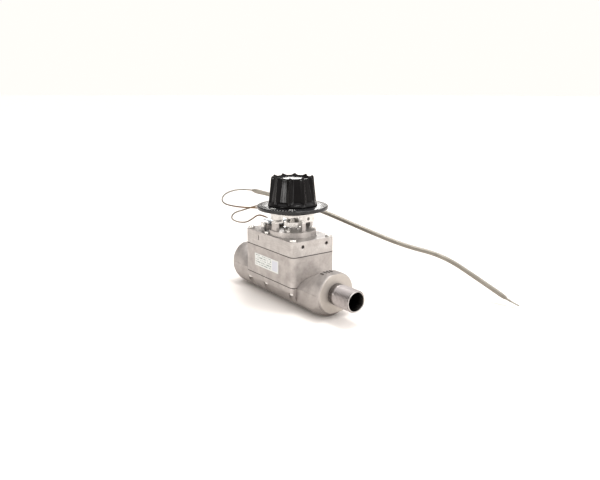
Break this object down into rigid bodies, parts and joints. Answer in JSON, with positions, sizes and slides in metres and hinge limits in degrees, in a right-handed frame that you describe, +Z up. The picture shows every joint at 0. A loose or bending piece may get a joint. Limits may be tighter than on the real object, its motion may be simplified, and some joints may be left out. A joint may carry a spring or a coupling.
{
  "type": "gas thermostat valve",
  "caption": "In-line gas thermostat valve: cast body between two pipe hubs, black fluted dial on top, pipe nipple outlet, and a capillary with a slender sensing bulb.",
  "frame": {"origin": "on the face the valve rests on, straight under the axis of the dial's stem", "axes": "+Z up along the dial's stem, +X along the pipe towards the outlet nipple, the label faces -Y"},
  "size_m": [0.2725, 0.1961, 0.1254],
  "materials": {
    "casting": "satin, fine cast grain",
    "cap_metal": "satin, brushed",
    "gasket": "dark fibre gasket",
    "screw_steel": "bright zinc plated",
    "pipe_steel": "machined steel, bright thread",
    "label": "white printed foil",
    "spring_steel": "spring steel",
    "brass": "machined brass",
    "rubber": "soft nitrile",
    "bracket_steel": "stamped, zinc plated",
    "stem_steel": "ground steel",
    "phenolic": "black gloss phenolic",
    "dial_print": "black gloss with pale print",
    "element_metal": "blue-grey passivated steel",
    "copper": "tarnished copper tube",
    "bulb_metal": "tinned copper, dull"
  },
  "bodies": {
    "valve_body": {"base_casting": "casting", "body_casting": "casting", "cap_casting": "cap_metal", "bonnet": "cap_metal", "base_gasket": "gasket", "cap_gasket": "gasket", "base_screws": "screw_steel", "cap_screws": "screw_steel", "name_label": "label", "outlet_nipple": "pipe_steel", "inlet_screen": "brass", "valve_seat": "brass", "stem_guide": "stem_steel", "valve_spring": "spring_steel", "lever_pin": "stem_steel", "bonnet_screws": "screw_steel", "dial_bracket": "bracket_steel", "bracket_screws": "screw_steel", "stem_bushing": "screw_steel", "packing_nut": "screw_steel", "stem_packing": "rubber", "plunger_guide_pin": "stem_steel", "stop_ring": "bracket_steel", "stop_pin": "stem_steel", "element_body": "brass", "element_button": "stem_steel", "power_element": "element_metal", "element_clamp": "element_metal", "capillary_ferrule": "copper", "bypass_spring": "spring_steel", "capillary_lead": "copper", "capillary_tail": "copper", "capillary_coil": "copper", "coil_tie": "rubber", "sensing_bulb": "bulb_metal", "bulb_tip": "bulb_metal"},
    "dial": {"dial_stem": "stem_steel", "stem_clip": "spring_steel", "dial_skirt": "dial_print", "knob_grip": "phenolic", "knob_insert": "brass", "knob_set_screw": "screw_steel"},
    "plunger": {"adjusting_plunger": "brass"},
    "lever": {"lever": "bracket_steel"},
    "disc": {"disc_facing": "rubber", "valve_disc": "brass", "valve_stem": "stem_steel", "spring_retainer": "stem_steel"},
    "bypass": {"bypass_screw": "screw_steel"}
  },
  "joints": [
    {"name": "dial_turn", "type": "hinge", "parent": "valve_body", "child": "dial", "pos_m": [0, 0, 0.095], "axis": [0, 0, 1], "range_deg": [0, 280]},
    {"name": "plunger_lift", "type": "slide", "parent": "valve_body", "child": "plunger", "axis": [0, 0, 1], "range_m": [0, 0.00281]},
    {"name": "lever_rock", "type": "hinge", "parent": "valve_body", "child": "lever", "pos_m": [-0.024, 0, 0.05775], "axis": [0, -1, 0], "range_deg": [0, 6.7]},
    {"name": "disc_lift", "type": "slide", "parent": "valve_body", "child": "disc", "axis": [0, 0, 1], "range_m": [0, 0.00141], "deforming": ["valve_spring"]},
    {"name": "bypass_turn", "type": "hinge", "parent": "valve_body", "child": "bypass", "pos_m": [-0.027, -0.0166, 0.072], "axis": [0, 0, 1], "range_deg": [-180, 180]}
  ],
  "couplings": [
    {"joint": "plunger_lift", "follows": "dial_turn", "m_per_rad": 0.00057296},
    {"joint": "lever_rock", "follows": "dial_turn", "ratio": 0.023873},
    {"joint": "disc_lift", "follows": "dial_turn", "m_per_rad": 0.00028648}
  ]
}
